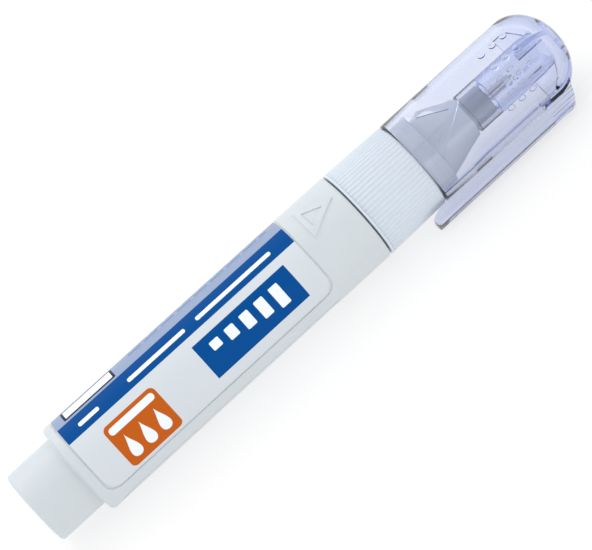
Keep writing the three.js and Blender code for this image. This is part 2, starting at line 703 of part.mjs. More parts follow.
// The cap: a domed shell with the clip, and on each side of it an arrow and grip dots. Inside, a
// sleeve closes over the spout, tied to the shell's end by webs.
function cap() {
  const cavityDomeAt = cavityEndAt - CAVITY_DOME_LENGTH;
  const mouthEndAt = capAt + CAP_MOUTH_DEPTH;
  const sleeveAt = spoutAt + SLEEVE_STEP_GAP;
  const sleeveStepAt = spoutEndAt + SLEEVE_STEP_GAP;
  const outside = turned([
    [0, capAt],
    [CAP_RADIUS, capAt, CAP_RIM_ROUND],
    [CAP_RADIUS, domeAt],
    ...domeCorners(CAP_RADIUS, CAP_DOME_LENGTH, domeAt, 0),
  ]);
  const cavity = turned([
    [0, capAt - OVERLAP],
    [mouthRadius, capAt - OVERLAP],
    [mouthRadius, mouthEndAt],
    [CAVITY_RADIUS, mouthEndAt + CAP_MOUTH_TAPER],
    [CAVITY_RADIUS, cavityDomeAt],
    ...domeCorners(CAVITY_RADIUS, CAVITY_DOME_LENGTH, cavityDomeAt, sleeveRadius),
    [sleeveRadius, sleeveAt],
    [sleeveMouth, sleeveAt],
    [sleeveMouth, sleeveStepAt],
    [SLEEVE_BORE_RADIUS, sleeveStepAt],
    [SLEEVE_BORE_RADIUS, cavityEndAt],
    [0, cavityEndAt],
  ]);
  const webs = [];
  const webFrom = (SLEEVE_BORE_RADIUS + sleeveRadius) / 2;
  const webTo = (CAVITY_RADIUS + CAP_RADIUS) / 2;
  const webDome = (CAVITY_DOME_LENGTH + CAP_DOME_LENGTH) / 2;
  const webDomeAt = (cavityDomeAt + domeAt) / 2;
  const midWall = turned([
    [0, sleeveAt],
    [webTo, sleeveAt],
    [webTo, webDomeAt],
    ...domeCorners(webTo, webDome, webDomeAt, 0),
  ]);
  const webWidth = webTo - webFrom;
  const webLength = WEB_LENGTH + OVERLAP;
  for (let web = 0; web < WEB_COUNT; web++) {
    const out = webFrom + webWidth / 2;
    const along = cavityEndAt - WEB_LENGTH + webLength / 2;
    const angle = capFaceAngles[0] + (360 * web) / WEB_COUNT;
    const solid = block(webWidth, webLength, WEB_THICKNESS, out, along, 0);
    webs.push(turnFromX(solid, angle).intersect(midWall));
  }
  const reliefs = [];
  for (const faceAngle of capFaceAngles) {
    const face = arrow(
      CAP_ARROW_BASE,
      CAP_ARROW_HEIGHT,
      CAP_ARROW_BAND,
      capAt + CAP_ARROW_FROM_RIM,
      CAP_RADIUS,
      CAP_RADIUS,
      faceAngle,
    );
    reliefs.push(face, ...capDots(faceAngle));
  }
  const shell = wasm.Manifold.union([outside, clip(), ...reliefs]).subtract(cavity);
  return wasm.Manifold.union([shell, ...webs]);
}

// Materials
function material(color, roughness, metalness = 0) {
  return new THREE.MeshStandardMaterial({ color, roughness, metalness });
}

const whitePlastic = material("#e3e5ea", 0.45);
const labelFilm = material("#eceef2", 0.35);
const clearBlue = material("#bfc4e4", 0.08);
const naturalPlastic = material("#e9e8e2", 0.5);
const softSeal = material("#d8d9d6", 0.7);
const steel = material("#b9bbc0", 0.25, 1);

// The pen
const pieces = [
  ["bottle", bottle(), whitePlastic],
  ["label", label(), labelFilm],
  ["mixing_ball", mixingBall(), steel],
  ["nozzle", nozzle(), whitePlastic],
  ["neck_gasket", gasket(), softSeal],
  ["steel_tip", steelTip(), steel],
  ["valve_needle", needle(), steel],
  ["needle_holder", needleHolder(), naturalPlastic],
  ["needle_spring", spring(), steel],
  ["spring_plug", plug(), naturalPlastic],
  ["cap", cap(), clearBlue],
];

const pen = new THREE.Group();
for (const [name, solid, finish] of pieces) {
  const mesh = new THREE.Mesh(geometryOf(solid), finish);
  mesh.name = name;
  pen.add(mesh);
}
pen.rotation.z = -Math.PI / 2;

export default pen;
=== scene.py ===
# A pen-shaped correction fluid bottle that lies on a table. The pen's axis is +X, from the tail to
# the cap, and +Z is up. Sizes are in millimetres, and MM turns them to metres. Angles round the pen
# are in degrees, from straight up towards the side that the clip is on.
import math

import bpy
from mathutils import Matrix, Vector


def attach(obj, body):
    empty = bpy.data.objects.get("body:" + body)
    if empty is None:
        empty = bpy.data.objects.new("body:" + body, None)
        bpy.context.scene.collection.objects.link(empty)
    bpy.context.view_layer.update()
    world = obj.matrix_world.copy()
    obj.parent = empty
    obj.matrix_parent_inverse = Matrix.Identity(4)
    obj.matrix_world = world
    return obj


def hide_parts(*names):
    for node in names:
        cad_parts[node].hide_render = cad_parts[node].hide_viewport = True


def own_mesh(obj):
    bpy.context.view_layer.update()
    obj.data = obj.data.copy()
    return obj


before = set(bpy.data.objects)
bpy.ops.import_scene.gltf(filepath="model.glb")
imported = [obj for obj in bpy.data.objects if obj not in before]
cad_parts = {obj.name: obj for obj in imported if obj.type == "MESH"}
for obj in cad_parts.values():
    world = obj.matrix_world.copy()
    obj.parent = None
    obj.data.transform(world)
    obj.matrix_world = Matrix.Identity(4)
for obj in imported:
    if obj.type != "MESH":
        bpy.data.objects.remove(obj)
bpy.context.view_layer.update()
MM = 0.001


# The camera: a long lens over the clip's side of the pen, square to the label's rear half. It is
# rolled, so that the pen rises from the lower left of the picture to the upper right.
CAMERA_SQUARE_AT = 21.4
CAMERA_DISTANCE = 409
CAMERA_AIMS_AT = 49.17
CAMERA_AIMS_BELOW = 0.41
CAMERA_ANGLE = 58
PEN_RISE = 42.34
LENS = 176.9


def round_pen(along, angle, radius):
    """The point at a distance along the pen, an angle round it and a radius."""
    turn = math.radians(angle)
    return Vector((along, -radius * math.sin(turn), radius * math.cos(turn))) * MM


eye = round_pen(CAMERA_SQUARE_AT, CAMERA_ANGLE, CAMERA_DISTANCE)
aim = round_pen(CAMERA_AIMS_AT, CAMERA_ANGLE + 90, CAMERA_AIMS_BELOW)
backward = (eye - aim).normalized()
along_pen = Vector((1, 0, 0))
along_pen = (along_pen - backward * along_pen.dot(backward)).normalized()
over_pen = backward.cross(along_pen)
rise = math.radians(PEN_RISE)
rightward = along_pen * math.cos(rise) - over_pen * math.sin(rise)
bpy.ops.object.camera_add()
camera = bpy.context.object
camera.name = "camera"
camera.matrix_world = Matrix((rightward, backward.cross(rightward), backward)).transposed().to_4x4()
camera.location = eye
camera.data.lens = LENS
camera.data.sensor_width = 36
camera.data.clip_start = 0.01
bpy.context.scene.camera = camera


# The bottle: polyethylene, blow-moulded in one with its closed tail and its neck. A shallow recess
# follows the label's outline, and a raised arrow by the collar points to the cap.
TAIL_LENGTH = 8
TAIL_RADIUS = 5.95
BODY_FRONT = 61.05
BODY_RADIUS_REAR = 7.5
BODY_RADIUS_FRONT = 7.3
BOTTLE_WALL = 0.9
NECK_RADIUS = 5.6
NECK_BORE = 4.4
NECK_END = 69.05
BEAD_FROM_BODY = 4.2
BEAD_LENGTH = 1.2
BEAD_HEIGHT = 0.25
LABEL_FROM = 9.75
LABEL_TO = 51.7
LABEL_RECESS = 0.2
LABEL_MARGIN = 0.35
LABEL_CORNER = 2.3
LABEL_GAP_HALF = 1.81
LABEL_GAP_ANGLE = 119.6
BOTTLE_ARROW_AT = 54.15
BOTTLE_ARROW_BASE = 5.8
BOTTLE_ARROW_HEIGHT = 5.65
BOTTLE_ARROW_BAND = 0.9
BOTTLE_ARROW_ANGLE = 23
ARROW_RELIEF = 0.2
ARROW_ROOT = 0.4
ARROW_EASE = 0.09
ROUND_STEPS = 6


def body_radius(along):
    share = (along - TAIL_LENGTH) / (BODY_FRONT - TAIL_LENGTH)
    return BODY_RADIUS_REAR + (BODY_RADIUS_FRONT - BODY_RADIUS_REAR) * share


def eased(corners):
    """The points of an outline of (along, out) corners. A corner's third number rounds it."""
    points = []
    for i, corner in enumerate(corners):
        here = Vector(corner[:2])
        if len(corner) < 3:
            points.append(tuple(here))
            continue
        before = Vector(corners[i - 1][:2]) - here
        after = Vector(corners[(i + 1) % len(corners)][:2]) - here
        half = before.angle(after) / 2
        reach = min(corner[2] / math.tan(half), before.length / 2, after.length / 2)
        first = here + before.normalized() * reach
        last = here + after.normalized() * reach
        middle = here + (first + last - 2 * here).normalized() * (reach / math.cos(half))
        start = math.atan2(first.y - middle.y, first.x - middle.x)
        end = math.atan2(last.y - middle.y, last.x - middle.x)
        turn = (end - start + math.pi) % (2 * math.pi) - math.pi
        for step in range(ROUND_STEPS + 1):
            angle = start + turn * step / ROUND_STEPS
            out = Vector((math.cos(angle), math.sin(angle))) * (first - middle).length
            points.append(tuple(middle + out))
    return points


def select_only(piece):
    bpy.ops.object.select_all(action="DESELECT")
    piece.select_set(True)
    bpy.context.view_layer.objects.active = piece


def close_up(piece, inside=False):
    """Merges what coincides, turns the faces outwards, and leaves edit mode."""
    bpy.ops.mesh.select_all(action="SELECT")
    bpy.ops.mesh.remove_doubles(threshold=0.0001 * MM)
    bpy.ops.mesh.normals_make_consistent(inside=inside)
    bpy.ops.object.mode_set(mode="OBJECT")
    return piece


def turned(name, outline, sides):
    """A solid turned round the pen's axis. A ring is extruded, and widened or narrowed, from point to
    point. An outline that ends on the axis has a filled first ring, and any other ends on its start."""
    (along, radius), rest = outline[0], outline[1:]
    fill = "NGON" if rest[-1][1] == 0 else "NOTHING"
    if fill == "NOTHING":
        rest = rest + outline[:1]
    bpy.ops.object.select_all(action="DESELECT")
    bpy.ops.mesh.primitive_circle_add(
        vertices=sides,
        radius=radius * MM,
        fill_type=fill,
        location=(along * MM, 0, 0),
        rotation=(0, math.pi / 2, 0),
    )
    piece = bpy.context.object
    piece.name = name
    piece.data.name = name
    bpy.ops.object.transform_apply()
    bpy.ops.object.mode_set(mode="EDIT")
    bpy.ops.mesh.select_mode(type="EDGE")
    bpy.ops.mesh.select_all(action="SELECT")
    if fill == "NGON":
        bpy.ops.mesh.region_to_loop()
    for next_along, next_radius in rest:
        step = {"value": ((next_along - along) * MM, 0, 0)}
        bpy.ops.mesh.extrude_edges_move(TRANSFORM_OT_translate=step)
        if next_radius == 0:
            bpy.ops.mesh.merge(type="CENTER")
        elif next_radius != radius:
            wider = next_radius / radius
            bpy.ops.transform.resize(value=(1, wider, wider), center_override=(next_along * MM, 0, 0))
        along, radius = next_along, next_radius
    return close_up(piece)


def drawn(name, points):
    """A flat face through points in millimetres, left in edit mode and selected."""
    bpy.ops.object.select_all(action="DESELECT")
    bpy.ops.mesh.primitive_circle_add(vertices=len(points), fill_type="NGON")
    piece = bpy.context.object
    piece.name = name
    piece.data.name = name
    for corner, point in zip(piece.data.vertices, points):
        corner.co = Vector(point) * MM
    bpy.ops.object.mode_set(mode="EDIT")
    bpy.ops.mesh.select_mode(type="FACE")
    bpy.ops.mesh.select_all(action="SELECT")
    return piece


def combine(piece, tool, operation):
    """Joins a tool to a piece, or cuts or trims the piece with it, and removes the tool."""
    select_only(piece)
    modifier = piece.modifiers.new(operation.lower(), "BOOLEAN")
    modifier.operation = operation
    modifier.solver = "EXACT"
    modifier.object = tool
    bpy.ops.object.modifier_apply(modifier=modifier.name)
    bpy.data.objects.remove(tool)


def turn_round_pen(piece, angle):
    """Turns a piece that was made on top of the pen to an angle round it."""
    select_only(piece)
    piece.rotation_euler.x = math.radians(angle)
    bpy.ops.object.transform_apply()


def smooth(piece, angle):
    """Smooth shading, but for edges that turn by more than an angle."""
    select_only(piece)
    bpy.ops.object.shade_smooth_by_angle(angle=math.radians(angle))


def raised_arrow(name, foot, base, height, band, radius_at, sides):
    """A raised triangle outline on top of a round surface. Its point is towards the cap."""
    tip = foot + height
    low = radius_at(foot) - 2
    arrow = drawn(name, [(foot, -base / 2, low), (tip, 0, low), (foot, base / 2, low)])
    bpy.ops.mesh.inset(thickness=band * MM)
    bpy.ops.mesh.delete(type="FACE")
    bpy.ops.mesh.select_all(action="SELECT")
    bpy.ops.mesh.extrude_region_move(TRANSFORM_OT_translate={"value": (0, 0, 3 * MM)})
    close_up(arrow)
    shell = [
        (foot - 1, radius_at(foot - 1) - ARROW_ROOT),
        (foot - 1, radius_at(foot - 1) + ARROW_RELIEF),
        (tip + 1, radius_at(tip + 1) + ARROW_RELIEF),
        (tip + 1, radius_at(tip + 1) - ARROW_ROOT),
    ]
    combine(arrow, turned(name + "_skin", shell, sides), "INTERSECT")
    soften = arrow.modifiers.new("soften", "BEVEL")
    soften.width = ARROW_EASE * MM
    soften.segments = 2
    soften.angle_limit = math.radians(40)
    bpy.ops.object.modifier_apply(modifier=soften.name)
    return arrow


def label_gap(name, margin):
    """A block over the gap between the label's ends, narrower by a margin on each side. It widens
    round the label's rounded corners, past both of its ends."""
    half = LABEL_GAP_HALF - margin
    flare = half + 2 * LABEL_CORNER
    low = LABEL_FROM - margin
    high = LABEL_TO + margin
    one_side = [
        (low - 1, flare),
        (low, flare),
        (low, half, LABEL_CORNER),
        (high, half, LABEL_CORNER),
        (high, flare),
        (high + 1, flare),
    ]
    other_side = [(along, -across, *ease) for along, across, *ease in reversed(one_side)]
    block = drawn(name, [(along, across, 4) for along, across in eased(one_side + other_side)])
    bpy.ops.mesh.extrude_region_move(TRANSFORM_OT_translate={"value": (0, 0, 5 * MM)})
    close_up(block)
    turn_round_pen(block, LABEL_GAP_ANGLE)
    return block


BOTTLE_SIDES = 180
recess_from = LABEL_FROM - LABEL_MARGIN
recess_to = LABEL_TO + LABEL_MARGIN
bore_rear = body_radius(recess_from) - LABEL_RECESS - BOTTLE_WALL
bore_front = body_radius(recess_to) - LABEL_RECESS - BOTTLE_WALL
tail_bore = TAIL_RADIUS - BOTTLE_WALL
bead_at = BODY_FRONT + BEAD_FROM_BODY
bottle_outline = [
    (0, TAIL_RADIUS - 1.2),
    (0, TAIL_RADIUS, 0.7),
    (TAIL_LENGTH, TAIL_RADIUS, 0.3),
    (TAIL_LENGTH, BODY_RADIUS_REAR, 1.5),
    (BODY_FRONT, BODY_RADIUS_FRONT, 0.35),
    (BODY_FRONT, NECK_RADIUS),
    (bead_at, NECK_RADIUS, 0.1),
    (bead_at + BEAD_HEIGHT, NECK_RADIUS + BEAD_HEIGHT, 0.15),
    (bead_at + BEAD_LENGTH - BEAD_HEIGHT, NECK_RADIUS + BEAD_HEIGHT, 0.15),
    (bead_at + BEAD_LENGTH, NECK_RADIUS, 0.1),
    (NECK_END, NECK_RADIUS, 0.2),
    (NECK_END, NECK_BORE, 0.2),
    (BODY_FRONT - BOTTLE_WALL, NECK_BORE, 0.5),
    (BODY_FRONT - BOTTLE_WALL - (bore_front - NECK_BORE) / 2, bore_front, 0.5),
    (TAIL_LENGTH + BOTTLE_WALL + (bore_rear - tail_bore) / 2, bore_rear, 0.5),
    (TAIL_LENGTH + BOTTLE_WALL, tail_bore, 0.3),
    (BOTTLE_WALL, tail_bore, 0.7),
    (BOTTLE_WALL, 0),
]
bottle = turned("squeeze_bottle", eased(bottle_outline), BOTTLE_SIDES)
recess_outline = [
    (recess_from - 1, body_radius(recess_from) + 1),
    (recess_to + 1, body_radius(recess_to) + 1),
    (recess_to - LABEL_RECESS, body_radius(recess_to) - LABEL_RECESS, 0.2),
    (recess_from + LABEL_RECESS, body_radius(recess_from) - LABEL_RECESS, 0.2),
]
recess = turned("label_recess", eased(recess_outline), BOTTLE_SIDES)
combine(recess, label_gap("recess_gap", LABEL_MARGIN), "DIFFERENCE")
combine(bottle, recess, "DIFFERENCE")
bottle_arrow = raised_arrow(
    "bottle_arrow",
    BOTTLE_ARROW_AT,
    BOTTLE_ARROW_BASE,
    BOTTLE_ARROW_HEIGHT,
    BOTTLE_ARROW_BAND,
    body_radius,
    BOTTLE_SIDES,
)
turn_round_pen(bottle_arrow, BOTTLE_ARROW_ANGLE)
combine(bottle, bottle_arrow, "UNION")

# The cuts leave pairs of points a hair apart, so they are merged to close the skin.
bpy.ops.object.mode_set(mode="EDIT")
close_up(bottle)
smooth(bottle, 30)


def linear(hexadecimal):
    """An sRGB hex colour as the linear colour that a shader reads."""
    channels = [int(hexadecimal[i : i + 2], 16) / 255 for i in (1, 3, 5)]
    return [c / 12.92 if c <= 0.04045 else ((c + 0.055) / 1.055) ** 2.4 for c in channels] + [1]


def node(tree, kind, settings=None, links=None):
    """Adds a node. Small-letter settings are the node's own, and others are the values of sockets. A
    link names a socket and what feeds it: an output, or a node, for its first output."""
    new = tree.nodes.new("ShaderNode" + kind)
    for key, value in (settings or {}).items():
        if isinstance(key, str) and key.islower():
            setattr(new, key, value)
        else:
            new.inputs[key].default_value = value
    for key, source in (links or {}).items():
        tree.links.new(getattr(source, "outputs", [source])[0], new.inputs[key])
    return new


def finish(name, settings):
    """A new material, its node tree and its Principled shader with the settings given."""
    new = bpy.data.materials.new(name)
    new.use_nodes = True
    shader = new.node_tree.nodes["Principled BSDF"]
    for key, value in settings.items():
        shader.inputs[key].default_value = value
    return new, new.node_tree, shader


def wear(piece, skin):
    piece.data.materials.clear()
    piece.data.materials.append(skin)


# Blow-moulded polyethylene: a waxy, faintly see-through white. The blown skin copies a vapour-blasted
# mould, so it is satin with a fine grain, and the wall's uneven thickness shows as faint clouds.
blown_pe, tree, shader = finish(
    "blow-moulded polyethylene",
    {"Roughness": 0.45, "Subsurface Weight": 0.2, "Subsurface Radius": (0.0012, 0.0011, 0.001)},
)
place = node(tree, "TexCoord").outputs["Object"]
clouds = node(tree, "TexNoise", {"Scale": 90, "Detail": 3}, {"Vector": place})
tint = node(tree, "Mix", {"data_type": "RGBA", 6: linear("#d0d6d9"), 7: linear("#c9d0d3")}, {0: clouds})
tree.links.new(tint.outputs[2], shader.inputs["Base Color"])
grain = node(tree, "TexNoise", {"Scale": 4000, "Detail": 2}, {"Vector": place})
blasted = node(tree, "Bump", {"Strength": 0.15, "Distance": 0.03 * MM}, {"Height": grain})
tree.links.new(blasted.outputs[0], shader.inputs["Normal"])
wear(bottle, blown_pe)
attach(bottle, "barrel")
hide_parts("bottle")


# The label: a printed polypropylene film with rounded corners, wrapped once round the body in its
# recess. Its two ends leave a narrow gap on the lower side.
LABEL_THICKNESS = 0.1
FILM_CLEARANCE = 0.05
LABEL_SIDES = 360
film_rear = body_radius(LABEL_FROM) - LABEL_RECESS + FILM_CLEARANCE
film_front = body_radius(LABEL_TO) - LABEL_RECESS + FILM_CLEARANCE
film_outline = [
    (LABEL_FROM, film_rear),
    (LABEL_FROM, film_rear + LABEL_THICKNESS),
    (LABEL_TO, film_front + LABEL_THICKNESS),
    (LABEL_TO, film_front),
]
label = turned("label_film", film_outline, LABEL_SIDES)
combine(label, label_gap("film_gap", 0), "DIFFERENCE")
smooth(label, 30)

# Gravure inks under a gloss varnish on white film: flat, even colours with crisp edges and a soft
# shine. The film's drawn surface has faint waves along the pen. The print is a plain design.
film, tree, shader = finish(
    "printed polypropylene film",
    {"Roughness": 0.4, "Specular IOR Level": 0.06},
)
place = node(tree, "TexCoord").outputs["Object"]
split = node(tree, "SeparateXYZ", {}, {0: place}).outputs
along_mm = node(tree, "Math", {"operation": "DIVIDE", 1: MM}, {0: split["X"]})
clipward = node(tree, "Math", {"operation": "MULTIPLY", 1: -1}, {0: split["Y"]})
turn = node(tree, "Math", {"operation": "ARCTAN2"}, {0: clipward, 1: split["Z"]})
round_mm = node(tree, "Math", {"operation": "MULTIPLY", 1: film_rear}, {0: turn})
flat_print = node(tree, "CombineXYZ", {}, {0: along_mm, 1: round_mm})


def printed_patch(start, end, low, high, corner=0.05):
    """Where a rounded rectangle is printed, from start to end along the pen and between two angles."""
    low, high = (math.radians(angle) * film_rear for angle in (low, high))
    middle = ((start + end) / 2, (low + high) / 2, 0)
    half = ((end - start) / 2 - corner, (high - low) / 2 - corner, 1)
    away = node(tree, "VectorMath", {"operation": "SUBTRACT", 1: middle}, {0: flat_print})
    folded = node(tree, "VectorMath", {"operation": "ABSOLUTE"}, {0: away})
    past = node(tree, "VectorMath", {"operation": "SUBTRACT", 1: half}, {0: folded})
    outside = node(tree, "VectorMath", {"operation": "MAXIMUM", 1: (0, 0, 0)}, {0: past})
    reach = node(tree, "VectorMath", {"operation": "LENGTH"}, {0: outside}).outputs["Value"]
    return node(tree, "Math", {"operation": "LESS_THAN", 1: corner}, {0: reach})


def ink(under, colour, where):
    """One ink over what is already printed."""
    over = {"data_type": "RGBA", 7: linear(colour)}
    return node(tree, "Mix", over, {6: under, 0: where}).outputs[2]


def both(one, other):
    return node(tree, "Math", {"operation": "MULTIPLY"}, {0: one, 1: other})


BLUE = "#004b90"
PALE_BLUE = "#97a6c1"
ORANGE = "#c15d19"
PAPER_WHITE = "#eef3f7"
RULE_GREY = "#7689b0"
BORDER = "#2d3644"
waves = node(tree, "TexNoise", {"Scale": 60, "Detail": 2}, {"Vector": place})
sheet = {"data_type": "RGBA", 6: linear("#d4dadf"), 7: linear("#d0d6da")}
print_so_far = node(tree, "Mix", sheet, {0: waves}).outputs[2]

# The pale field with rows of short rules, where small print would be.
print_so_far = ink(print_so_far, PALE_BLUE, printed_patch(LABEL_FROM, LABEL_TO, -162, 6.1))
words = {"offset": 0.37, "Scale": 1, "Mortar Size": 0.3, "Brick Width": 3.1, "Row Height": 1.2}
rules = node(tree, "TexBrick", words, {"Vector": flat_print}).outputs["Fac"]
rules = node(tree, "Math", {"operation": "LESS_THAN", 1: 0.5}, {0: rules})
print_so_far = ink(print_so_far, RULE_GREY, both(rules, printed_patch(24, 50, -155, -6.5)))

# The empty panel with a dark border.
print_so_far = ink(print_so_far, BORDER, printed_patch(11.4, 20.9, -22, 2.6, 0.15))
print_so_far = ink(print_so_far, PAPER_WHITE, printed_patch(11.8, 20.5, -19, -0.6, 0.1))

# The blue stripe with three white rules.
print_so_far = ink(print_so_far, BLUE, printed_patch(LABEL_FROM, LABEL_TO, 6.1, 31.9))
for start, end in ((12.5, 16.2), (21.6, 32.2), (34.3, 48.2)):
    print_so_far = ink(print_so_far, PAPER_WHITE, printed_patch(start, end, 18.5, 24, 0.3))

# The orange square with a white bar and three white drops. A drop's half width, squared, grows with
# the third power of the distance from its point, and shrinks to nothing at its round end.
print_so_far = ink(print_so_far, ORANGE, printed_patch(14.3, 23.6, 43.7, 101.5, 0.9))
print_so_far = ink(print_so_far, PAPER_WHITE, printed_patch(14.9, 23, 48.5, 57, 0.5))
DROPS_MIDDLE = 18.95
DROPS_FROM_ANGLE = 63
DROP_LENGTH = 3.9
DROP_PITCH = 2.7
DROP_FULLNESS = 7
drop_low = math.radians(DROPS_FROM_ANGLE) * film_rear
from_middle = node(tree, "Math", {"operation": "SUBTRACT", 1: DROPS_MIDDLE}, {0: along_mm})
wrapped = {"operation": "WRAP", 1: -DROP_PITCH / 2, 2: DROP_PITCH / 2}
aside = node(tree, "Math", wrapped, {0: from_middle})
aside_squared = node(tree, "Math", {"operation": "POWER", 1: 2}, {0: aside})
fall = {1: drop_low, 2: drop_low + DROP_LENGTH, 3: 0, 4: 1}
down = node(tree, "MapRange", fall, {0: round_mm})
cubed = node(tree, "Math", {"operation": "POWER", 1: 3}, {0: down})
left = node(tree, "Math", {"operation": "SUBTRACT", 0: 1}, {1: down})
width_squared = node(tree, "Math", {"operation": "MULTIPLY"}, {0: cubed, 1: left})
width_squared = node(tree, "Math", {"operation": "MULTIPLY", 1: DROP_FULLNESS}, {0: width_squared})
drops = node(tree, "Math", {"operation": "LESS_THAN"}, {0: aside_squared, 1: width_squared})
print_so_far = ink(print_so_far, PAPER_WHITE, both(drops, printed_patch(14.95, 22.95, 60, 98)))

# The blue block with five white bars, each longer than the last.
print_so_far = ink(print_so_far, BLUE, printed_patch(31.2, 48.3, 43.1, 89.5))
BARS_FROM = 33.3
BAR_PITCH = 2.75
BAR_WIDTH = 1.6
for i in range(5):
    start = BARS_FROM + i * BAR_PITCH
    high = 59 + 4 * (i + 1)
    print_so_far = ink(print_so_far, PAPER_WHITE, printed_patch(start, start + BAR_WIDTH, 52.3, high, 0.2))

tree.links.new(print_so_far, shader.inputs["Base Color"])
stretch = node(tree, "Mapping", {"Scale": (40, 900, 900)}, {0: place})
drawn_film = node(tree, "TexNoise", {"Scale": 1, "Detail": 2}, {"Vector": stretch})
ripple = node(tree, "Bump", {"Strength": 0.12, "Distance": 0.05 * MM}, {"Height": drawn_film})
tree.links.new(ripple.outputs[0], shader.inputs["Normal"])
wear(label, film)
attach(label, "barrel")
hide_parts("label")


# The mixing ball: a loose stainless ball that stirs the fluid when the pen is shaken. It rests just
# clear of the bottle's lowest side, and can't be seen through the bottle's wall.
BALL_RADIUS = 2.5
BALL_AT = 16.4
BALL_BELOW = 3.5683
BALL_SIDES = 64
BALL_RINGS = 32
POLE_RADIUS = 0.02
ball_outline = [(BALL_AT - BALL_RADIUS, POLE_RADIUS)]
for ring in range(1, BALL_RINGS):
    angle = math.pi * ring / BALL_RINGS
    ball_outline.append((BALL_AT - BALL_RADIUS * math.cos(angle), BALL_RADIUS * math.sin(angle)))
ball_outline.append((BALL_AT + BALL_RADIUS, 0))
ball = turned("stainless_ball", ball_outline, BALL_SIDES)
select_only(ball)
ball.location.z = -BALL_BELOW * MM
bpy.ops.object.transform_apply()
smooth(ball, 30)

# Tumbled stainless steel, dull from the fluid, with a thin dried film of white in patches.
ball_steel, tree, shader = finish("tumbled stainless steel", {"Metallic": 1, "Roughness": 0.35})
place = node(tree, "TexCoord").outputs["Object"]
patches = node(tree, "TexNoise", {"Scale": 900, "Detail": 3}, {"Vector": place})
stain = node(tree, "Mix", {"data_type": "RGBA", 6: linear("#a9abae"), 7: linear("#d2d3d4")}, {0: patches})
tree.links.new(stain.outputs[2], shader.inputs["Base Color"])
wear(ball, ball_steel)
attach(ball, "ball")
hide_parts("mixing_ball")


# The gasket: a ring of closed-cell polyethylene foam between the bottle's mouth and the nozzle. The
# cut cells give it a soft, pitted, matt face.
foam, tree, shader = finish("closed-cell polyethylene foam", {"Roughness": 0.8})
place = node(tree, "TexCoord").outputs["Object"]
cells = node(tree, "TexVoronoi", {"Scale": 4000}, {"Vector": place})
tint = node(tree, "Mix", {"data_type": "RGBA", 6: linear("#dedfdb"), 7: linear("#c9cbc8")}, {0: cells})
tree.links.new(tint.outputs[2], shader.inputs["Base Color"])
pits = node(tree, "Bump", {"Strength": 0.4, "Distance": 0.08 * MM}, {"Height": cells})
tree.links.new(pits.outputs[0], shader.inputs["Normal"])
wear(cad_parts["neck_gasket"], foam)


# The nozzle: one polypropylene moulding of ribbed collar, seat for the cap, cone and spout. Its skirt
# snaps over the bead on the bottle's neck, and a chamber inside it holds the valve.
COLLAR_AT = 61.3
COLLAR_FRONT = 71.8
COLLAR_RADIUS = 7.33
COLLAR_TAPER = 0.21
COLLAR_LIP = 0.4
RIB_COUNT = 66
SKIRT_MIDDLE_RADIUS = 6.5
RIB_HEIGHT = 0.2
RIB_BELOW_LIP = 0.05
RIB_SETBACK = 0.15
RIB_SLOPE_SETBACK = 0.08
RIB_SHOULDER = 0.6
SEAT_RADIUS = 5.95
SNAP_RING_AT = 73.5
SNAP_RING_HALF = 0.4
SNAP_RING_HEIGHT = 0.06
CONE_AT = 75.2
CONE_REAR_RADIUS = 5.3
CONE_FRONT_RADIUS = 3.3
SPOUT_AT = 82
SPOUT_END = 86
SPOUT_RADIUS = 2.45
TIP_HOLE_RADIUS = 0.8
SKIRT_BORE = 5.72
SNAP_GROOVE_AT = 65.13
SNAP_GROOVE_END = 66.57
SNAP_GROOVE_DEPTH = 0.25
CHAMBER_AT = 67.35
CHAMBER_RADIUS = 2
CHAMBER_TUBE_RADIUS = 2.9
HOLLOW_AT = 69.95
HOLLOW_NARROWS_AT = 74.1
HOLLOW_END = 78.1
HOLLOW_END_RADIUS = 3.35
COLUMNS_PER_RIB = 6


def collar_radius(along):
    return COLLAR_RADIUS - COLLAR_TAPER * (along - COLLAR_AT) / (COLLAR_FRONT - COLLAR_AT)


def between_ribs(along):
    return collar_radius(along) - RIB_BELOW_LIP - RIB_HEIGHT


